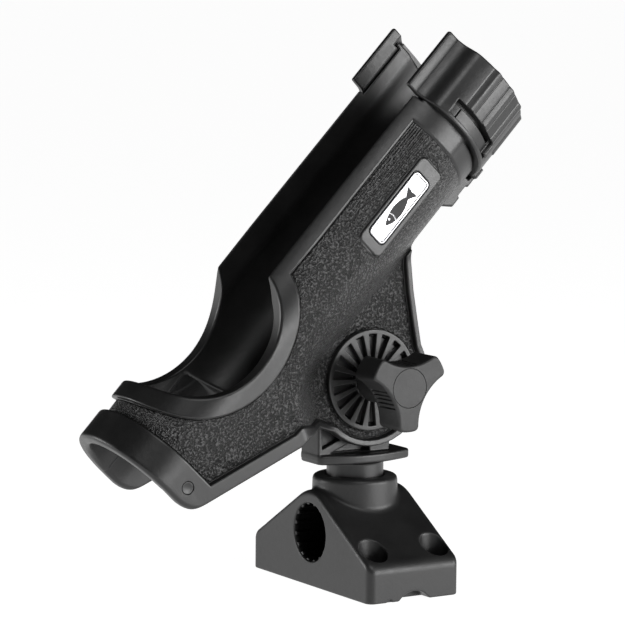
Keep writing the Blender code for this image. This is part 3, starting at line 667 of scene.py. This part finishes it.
def disc(side):
    """A spoked disc in a cheek, with radial teeth towards the post's head."""

    def field(x, y, z):
        out = side * y
        radius = np.hypot(x, z)
        angle = np.arctan2(z, x)
        drum = smax(radius - DRUM_SEAT + 0.35, within(out, 9.2, 12.0), 0.4)
        plate = smax(radius - DISC_SEAT + 0.55, within(out, 11.8, 14.6), 0.7)
        body = smin(drum, plate, 0.3)
        spacing = 2 * math.pi / SPOKES
        off = turned_to(angle, spacing, spacing / 2)
        wide = np.abs(off) * radius - radius * spacing * 0.285
        pocket = smax(smax(wide, within(radius, 9.4, 21.9), 0.6), 11.7 - out, 0.4)
        body = cut(body, pocket, 0.4)
        toothed = (radius > 12.0) & (radius < 20.4)
        groove = np.where(toothed, 0.7 * ratchet(angle, RATCHET_TEETH), 0.7)
        body = smax(body, 9.2 + groove - out, 0.2)
        return cut(body, radius - BOLT_HOLE, 0.3)

    return field


for side, word in SIDES:
    low_y, high_y = span(side, 8.4, 15.4)
    cast(
        f"spoked_disc_{word}", disc(side), (-25.0, low_y, -25.0), (25.0, high_y, 25.0),
        0.28, PIVOT, 90000, BLACK, "cradle", [f"ratchet_disc_{word}"],
    )


def badge(side):
    """A stamped plate with a raised border."""

    def field(u, y, n):
        out = side * y
        edge = badge_gap(u, n, 0.0)
        plate = smax(edge, within(out, 32.85, 33.55), 0.35)
        border = smax(np.abs(edge + 0.75) - 0.55, within(out, 33.0, 33.85), 0.4)
        return smin(plate, border, 0.3)

    return field


def badge_marks(u, y, n):
    """The badge's dark printing: a plain fish, inside a thin line along the border."""
    a, b = u - BADGE_MIDDLE[0], n - BADGE_MIDDLE[1]
    body = np.maximum(np.hypot(a + 2.0, b - 13.0), np.hypot(a + 2.0, b + 13.0)) - 15.9
    tail = np.maximum(np.abs(b) - 0.62 * (a - 4.8), within(a, 4.9, 10.2))
    tail = np.maximum(tail, 1.2 - np.hypot(a - 11.0, 0.7 * b))
    eye = np.hypot(a + 7.6, b - 0.6) - 0.62
    gill = np.maximum(np.abs(np.hypot(a + 9.4, b) - 4.6) - 0.22, -a - 7.0)
    fish = np.maximum(np.minimum(body, tail), -np.minimum(eye, gill))
    line = np.abs(badge_gap(u, n, 0.0) + 1.15) - 0.13
    return {"ink": np.clip(0.5 - np.minimum(fish, line) / 0.3, 0.0, 1.0)}


for side, word in SIDES:
    low_y, high_y = span(side, 32.3, 34.4)
    cast(
        f"badge_plate_{word}", badge(side), (40.8, low_y, -8.2), (80.8, high_y, 4.2),
        0.16, BARREL_AXIS, 70000, BADGE, "cradle", [f"badge_{word}"], badge_marks,
    )


def plug(side):
    """A pin pressed in at the low end, with a shallow dished head."""

    def field(u, y, n):
        out = side * y
        radius = from_plug(u, n)
        pin = smax(radius - 2.93, within(out, 27.6, 32.2), 0.35)
        return cut(pin, np.hypot(radius, out - 40.0) - 8.1, 0.3)

    return field


for side, word in SIDES:
    low_y, high_y = span(side, 27.0, 32.9)
    cast(
        f"plug_pin_{word}", plug(side), (-108.6, low_y, -10.2), (-101.4, high_y, -3.0),
        0.16, BARREL_AXIS, 9000, BLACK, "cradle", [f"end_plug_{word}"],
    )


# ---------------------------------------------------------------- locking ring


# Stations up the barrel and radii in millimetres, and degrees round from the open side.
RING_LOW = 108.5
RING_HIGH = 142.5
GRIP_LOW = 118.9
RING_RADIUS = 37.0
RING_BORE = 31.8
RING_GAP_HALF = 22.3
EAR_ANGLE = 36.5
GRIP_ANGLE = 80.5
FIRST_RIB = 86.0
RIB_PITCH = 19.0


def ring_radius(away):
    """Outer radius by angle from the open side: an upturned ear, a thumb dish, then plain."""
    past = away - EAR_ANGLE
    ear = 3.0 * (1.0 - ease(past / 10.0))
    dish = 2.1 * np.sin(math.pi * np.clip(past / 31.0, 0.0, 1.0)) ** 2
    return RING_RADIUS + ear - dish


def ribs(away):
    """Height of the grip's low ridges and of the grooves at their feet."""
    off = np.abs(turned_to(away, RIB_PITCH, FIRST_RIB))
    ridge = 1.0 - np.hypot(np.minimum(off, 4.6) / 4.6, 0.2)
    groove = ease((0.7 - np.abs(off - 4.8)) / 0.6)
    return (0.95 * ridge - 0.15 * groove) * ease((away - GRIP_ANGLE) / 1.0)


def ring(u, y, n):
    """The ring: a gap on its open side, a ribbed grip, and a slotted recess at its lower edge."""
    angle = np.degrees(np.arctan2(-y, n)) % 360.0
    away = np.minimum(angle, 360.0 - angle)
    radius = np.hypot(y, n)
    outer = ring_radius(away)
    grip = np.where(u > GRIP_LOW, ribs(away), 0.0)
    body = smax(0.8 * (radius - outer - grip), within(u, RING_LOW, RING_HIGH), 1.0)
    body = cut(body, radius - RING_BORE, 0.7)
    body = cut(body, np.maximum(radius - RING_BORE - 1.8, 136.7 - u), 0.5)
    gap = np.where(n > 0.0, RING_GAP_HALF - np.abs(y), -FAR)
    body = smax(smax(body, gap, 0.9), n - 30.4, 0.9)

    def round_from(degrees):
        """Distance round the ring, either way, from a place on it."""
        return radius * np.radians(np.abs(angle - degrees))

    reach = round_from(102.0) - radius * math.radians(28.0)
    recess = smax(np.maximum(within(u, 110.7, 118.7), reach), 35.2 - radius, 0.6)
    body = cut(body, recess, 0.4)
    reach = round_from(99.0) - radius * math.radians(24.6)
    slot = most(within(u, 116.55, 118.65), reach, 20.0 - radius)
    seam = most(round_from(81.0) - 0.3, within(u, 110.6, 117.0), 34.2 - radius)
    body = cut(body, np.minimum(slot, seam), 0.2)
    lip = np.maximum(round_from(129.0) - 1.9, within(u, 112.0, 118.8))
    body = smin(body, smax(lip, within(radius, 34.0, 37.9), 1.4), 0.5)
    tooth = smax(radius - 39.2, np.maximum(round_from(165.5) - 1.9, 35.0 - radius), 0.5)
    tooth = smax(tooth, within(u, 108.8, 114.6), 0.4)
    return smin(body, tooth, 0.5)


cast(
    "lock_ring", ring, (107.6, -40.2, -40.2), (143.4, 40.2, 34.0),
    0.4, BARREL_AXIS, 150000, BLACK, "ring", ["locking_ring"],
)


# ---------------------------------------------------------------- base and post

HALF_LENGTH = 52.35
HALF_WIDTH = 25.4
EAVES = 17.2
RIDGE = 49.3
SLOPE = math.atan2(RIDGE - EAVES, HALF_LENGTH)
BOSS_RADIUS = 20.3
BOSS_TOP = 52.0
SIDE_SOCKET_Z = 25.7
SCREW_X = 17.0
SCREW_Y = 42.5


def splines(a, b, size):
    """Small round ribs along a socket's wall."""
    pitch = 2 * math.pi / SPLINES
    off = turned_to(np.arctan2(b, a), pitch, pitch / 2)
    radius = np.hypot(a, b)
    return np.hypot(radius * np.cos(off) - SOCKET, radius * np.sin(off)) - size


def base(x, y, z):
    """The gabled foot with its boss, two splined sockets, four screw seats and end notches."""
    across = np.abs(y)
    wall = rounded_box(x, y, HALF_WIDTH, HALF_LENGTH, 4.0)

    def roof_side(v):
        return (v - HALF_LENGTH) * math.sin(SLOPE) + (z - EAVES) * math.cos(SLOPE)

    roof = smax(roof_side(y), roof_side(-y), 11.6)
    body = smax(smax(wall, roof, 3.4), -z, 0.8)
    radius = np.hypot(x, y)
    boss = smax(0.99 * (radius - BOSS_RADIUS - 0.02 * (50.0 - z)), within(z, 10.0, BOSS_TOP), 2.7)
    body = smin(body, boss, 2.2)
    body = cut(body, np.maximum(radius - SOCKET, 6.0 - z), 0.8)
    side_radius = np.hypot(y, z - SIDE_SOCKET_Z)
    body = cut(body, np.maximum(side_radius - SOCKET, x - 18.0), 0.9)
    teeth = np.maximum(splines(x, y, 1.0), within(z, 42.0, 50.0))
    side_teeth = np.maximum(splines(y, z - SIDE_SOCKET_Z, 1.0), within(x, -24.6, -15.5))
    body = smin(body, np.minimum(teeth, side_teeth), 0.3)
    screw = np.hypot(np.abs(x) - SCREW_X, across - SCREW_Y)
    seat = np.maximum(screw - 6.4 - 0.02 * (z - 8.0), 8.0 - z)
    body = cut(body, np.minimum(seat, screw - 3.2), 0.8)
    notch_half, notch_rise = 8.4, 4.2
    notch_radius = (notch_half**2 + notch_rise**2) / (2 * notch_rise)
    notch = np.hypot(x, z - notch_rise + notch_radius) - notch_radius
    body = cut(body, np.maximum(notch, HALF_LENGTH - 7.0 - across), 0.7)
    nib = np.maximum(np.hypot(x + 13.7, z) - 1.5, 51.2 - across)
    return cut(body, np.where(y < 0.0, nib, FAR), 0.3)


def base_marks(x, y, z):
    """The insides of the two sockets, where hardly any light gets to."""
    upright = np.maximum(np.hypot(x, y) - 14.6, z - 49.6)
    sideways = np.maximum(np.hypot(y, z - SIDE_SOCKET_Z) - 14.6, -24.2 - x)
    return {"shade": ease((0.2 - np.minimum(upright, sideways)) / 0.8)}


cast(
    "wedge_base", base, (-26.6, -53.6, -1.2), (26.6, 53.6, 53.4),
    0.45, WORLD, 150000, MATT, "base", ["base_mount"], base_marks,
)


# The post's (x, z) outlines: its web, and the deep and shallow pockets in the web's two sides.
PLATE_END = 25.6
WEB = [
    (-PLATE_END, 61.0), (14.0, 61.0), (16.0, 80.7), (0.0, 90.7), (-22.0, 92.7), (-PLATE_END, 84.0)
]
UPPER_POCKET = [(-23.3, 66.4), (-3.0, 75.2), (-3.0, 86.0), (-23.3, 83.0)]
LOWER_POCKET = [(-18.5, 64.0), (3.0, 64.0), (3.0, 73.0)]


def post(x, y, z):
    """The splined shaft, its swelling plate, the pocketed web and the toothed head."""
    across = np.abs(y)
    radius = np.hypot(x, y)
    shaft = smax(radius - 13.6, within(z, 7.0, 60.0), 1.0)
    grooves = np.maximum(splines(x, y, 1.35), z - 50.8)
    neck = np.maximum(12.7 - radius, within(z, 41.4, 50.6))
    shaft = cut(shaft, np.minimum(grooves, neck), 0.3)

    half_width = 8.8 + 6.2 * np.cos(math.pi / 2 * np.clip(x / PLATE_END, -1.0, 1.0))
    plate = smax(0.9 * (across - half_width), np.abs(x) - PLATE_END, 2.4)
    plate = smax(plate, within(z, 58.9, 63.4), 1.2)
    body = smin(shaft, plate, 1.2)

    web = smax(outline(WEB, x, z), across - 7.9, 1.0)
    upper = np.maximum(outline(UPPER_POCKET, x, z), 4.9 - across)
    lower = np.maximum(outline(LOWER_POCKET, x, z), 2.5 - across)
    body = smin(body, cut(web, np.minimum(upper, lower), 0.9), 0.8)

    from_pivot = np.hypot(x, z - PIVOT_Z)
    crest = 0.7 * (1.0 - ratchet(np.arctan2(z - PIVOT_Z, x), RATCHET_TEETH))
    face = 8.0 + np.where((from_pivot > 12.3) & (from_pivot < 20.3), crest, 0.0)
    head = smax(from_pivot - 23.6, 0.9 * (across - face), 0.7)
    body = smin(body, head, 0.6)
    return cut(body, from_pivot - 6.3, 0.3)


cast(
    "post_casting", post, (-27.0, -17.0, 6.0), (27.0, 17.0, 124.0),
    0.42, WORLD, 130000, BLACK, "post", ["post_arm"],
)


# ---------------------------------------------------------------- clamp and knob

KNOB_FACE = -46.3
KNOB_RADIUS = 20.8
CAP_SEAT = 9.22
GRIP_PITCH = 2.3
THREAD_PITCH = 1.25


def hexagon_gap(a, b, flats):
    """Distance to a hexagon that measures so much across its flats."""
    angle = turned_to(np.arctan2(b, a), math.pi / 3, math.pi / 6)
    return np.hypot(a, b) * np.cos(angle) - flats / 2


def knob(x, y, z):
    """Three lobes between scooped sides, ribbed in the scoops, on a hub with a nut's pocket."""
    depth = y - KNOB_FACE
    radius = np.hypot(x, z)
    off = turned_to(np.arctan2(z, x), 2 * math.pi / 3, math.radians(90.0))
    along, beside = radius * np.cos(off), radius * np.sin(off)
    scoop = np.hypot(along - 35.8, beside)
    grip = ease((np.cos(beside * 2 * math.pi / GRIP_PITCH) + 0.2) / 0.5) * (np.abs(beside) < 5.6)
    grip = 0.55 * grip * ease((depth - 1.6) / 0.6) * ease((15.0 - depth) / 0.6)
    side = 0.9 * (25.5 + grip - scoop - 0.03 * depth)
    lobes = smax(radius - KNOB_RADIUS + 0.03 * depth, side, 2.2)
    lobes = smax(lobes, within(depth, 0.0, 17.0), 1.3)
    hub = smax(radius - 10.0, within(depth, 14.0, 29.5), 0.8)
    body = smin(lobes, hub, 1.6)
    pocket = np.maximum(hexagon_gap(x, z, 13.6), -24.5 - y)
    body = cut(body, pocket, 0.3)
    body = cut(body, np.maximum(radius - BOLT_HOLE, -40.0 - y), 0.3)
    return cut(body, np.maximum(radius - CAP_SEAT, depth - 2.3), 0.12)


cast(
    "tri_knob", knob, (-22.4, -47.2, -22.4), (22.4, -16.2, 22.4),
    0.3, PIVOT, 120000, ROUGH, "knob", ["clamp_knob"],
)


def knob_cap(x, y, z):
    """A plain, faintly domed disc in the knob's face."""
    depth = y - KNOB_FACE
    radius = np.hypot(x, z)
    return smax(radius - CAP_SEAT + 0.08, within(depth, 0.0008 * radius**2 - 0.04, 2.0), 0.14)


cast(
    "cap_disc", knob_cap, (-10.0, -47.0, -10.0), (10.0, -43.6, 10.0),
    0.2, PIVOT, 30000, ROUGH, "knob", ["knob_cap"],
)


def body_with(node):
    """The name of the body that a CAD node is on."""
    bodies = frame["record"]["behaviour"]["bodies"]
    return next(body for body, nodes in bodies.items() if node in nodes)


def washer(side):
    """A flat ring under one end of the bolt."""

    def field(x, y, z):
        radius = np.hypot(x, z)
        flat = smax(radius - 8.8, within(side * y, 14.9, 16.5), 0.5)
        return cut(flat, radius - BOLT_HOLE, 0.3)

    return field


for (side, word), node in zip(SIDES, ("knob_washer", "bolt_washer")):
    low_y, high_y = span(side, 14.4, 17.0)
    cast(
        f"washer_{word}", washer(side), (-9.6, low_y, -9.6), (9.6, high_y, 9.6),
        0.2, PIVOT, 20000, STEEL, body_with(node), [node],
    )


def bolt(x, y, z):
    """A chamfered hexagon head on the far side, and a shank threaded at its other end."""
    radius = np.hypot(x, z)
    head = smax(hexagon_gap(x, z, 13.0), within(y, 16.8, 22.1), 0.4)
    head = smax(head, 0.7 * (radius - 7.1 + 0.9 * (y - 21.4)), 0.3)
    thread = 0.25 * np.cos(y * 2 * math.pi / THREAD_PITCH + np.arctan2(z, x))
    swell = np.where(y < -15.0, thread, 0.15)
    shank = smax(radius - 3.65 - swell, within(y, -38.0, 17.5), 0.4)
    return smin(head, shank, 0.3)


cast(
    "hex_bolt", bolt, (-8.2, -38.8, -8.2), (8.2, 22.8, 8.2),
    0.25, PIVOT, 60000, STEEL, body_with("clamp_bolt"), ["clamp_bolt"],
)

# The two pieces that stay as their CAD nodes, hardly seen, only get a metal.
for node, material in (("pivot_bush", STEEL), ("knob_insert", BRASS)):
    slots = frame["nodes"][node].data.materials
    for i in range(len(slots)):
        slots[i] = material


# ---------------------------------------------------------------- stage, light and camera


def stage():
    """A wide white floor, cut into square faces, just under the base."""
    size, segments = 60.0, 24
    row = segments + 1
    lines = [size * (i / segments - 0.5) for i in range(row)]
    points = [(x, y, 0.0) for y in lines for x in lines]
    corners = (0, 1, row + 1, row)
    starts = [j * row + i for j in range(segments) for i in range(segments)]
    mesh = bpy.data.meshes.new("floor")
    mesh.from_pydata(points, [], [[start + corner for corner in corners] for start in starts])
    mesh.materials.append(floor_white("studio_floor"))
    floor = bpy.data.objects.new("studio_floor", mesh)
    bpy.context.scene.collection.objects.link(floor)
    floor.location.z = -0.2 * MM


def direction(azimuth, elevation):
    """The way out from the holder, by degrees round from its near side and degrees up."""
    a, e = math.radians(azimuth), math.radians(elevation)
    return Vector((math.sin(a) * math.cos(e), -math.cos(a) * math.cos(e), math.sin(e)))


def softbox(name, azimuth, elevation, distance, size, power):
    """An area light aimed at the middle of the holder."""
    data = bpy.data.lights.new(name, "AREA")
    data.shape = "RECTANGLE"
    data.size, data.size_y = size
    data.energy = power
    light = bpy.data.objects.new(name, data)
    bpy.context.scene.collection.objects.link(light)
    away = direction(azimuth, elevation)
    light.location = Vector((0.0, 0.0, 0.12)) + away * distance
    light.rotation_euler = away.to_track_quat("Z", "Y").to_euler()


def surroundings():
    """A dark room, faintly lit round the horizon."""
    world = bpy.data.worlds.new("studio")
    bpy.context.scene.world = world
    world.use_nodes = True
    nodes, links = world.node_tree.nodes, world.node_tree.links
    coords = nodes.new("ShaderNodeTexCoord")
    parts = nodes.new("ShaderNodeSeparateXYZ")
    fade = nodes.new("ShaderNodeMapRange")
    fade.interpolation_type = "SMOOTHSTEP"
    for socket, number in zip(fade.inputs[1:5], (0.0, 0.25, 0.05, 0.01)):
        socket.default_value = number
    links.new(coords.outputs["Generated"], parts.inputs[0])
    links.new(parts.outputs["Z"], fade.inputs["Value"])
    links.new(fade.outputs["Result"], nodes["Background"].inputs["Strength"])
    nodes["Background"].inputs["Color"].default_value = grey(1.0)


def camera():
    """A long lens 1.5 m away, aimed a little left of and above the holder's middle, and rolled."""
    back = direction(-32.85, 7.0)
    roll = math.radians(0.56)
    aim_left, aim_up = math.tan(math.radians(0.79583)), math.tan(math.radians(0.20033))
    level_right = Vector((0.0, 0.0, 1.0)).cross(back).normalized()
    level_up = back.cross(level_right)
    right = math.cos(roll) * level_right + math.sin(roll) * level_up
    up = math.cos(roll) * level_up - math.sin(roll) * level_right
    ahead = (up * aim_up - right * aim_left - back).normalized()
    right = ahead.cross(up).normalized()
    up = right.cross(ahead)
    data = bpy.data.cameras.new("camera")
    data.sensor_width = 36.0
    data.lens = 181.872
    data.clip_end = 50.0
    view = bpy.data.objects.new("camera", data)
    bpy.context.scene.collection.objects.link(view)
    turn = Matrix((right, up, -ahead)).transposed().to_4x4()
    view.matrix_world = Matrix.Translation(Vector((0.0, 0.0, 0.124)) + back * 1.5) @ turn
    bpy.context.scene.camera = view


stage()
surroundings()
softbox("key_front_right", 36.0, 3.2, 1.3, (1.2, 0.36), 14.5)
softbox("front_high", -8.0, 46.0, 1.3, (0.5, 0.35), 3.6)
softbox("side_left", -120.0, 6.0, 1.3, (0.5, 0.35), 6.5)
camera()
bpy.context.scene.view_settings.view_transform = "Standard"
bpy.context.scene.view_settings.look = "None"
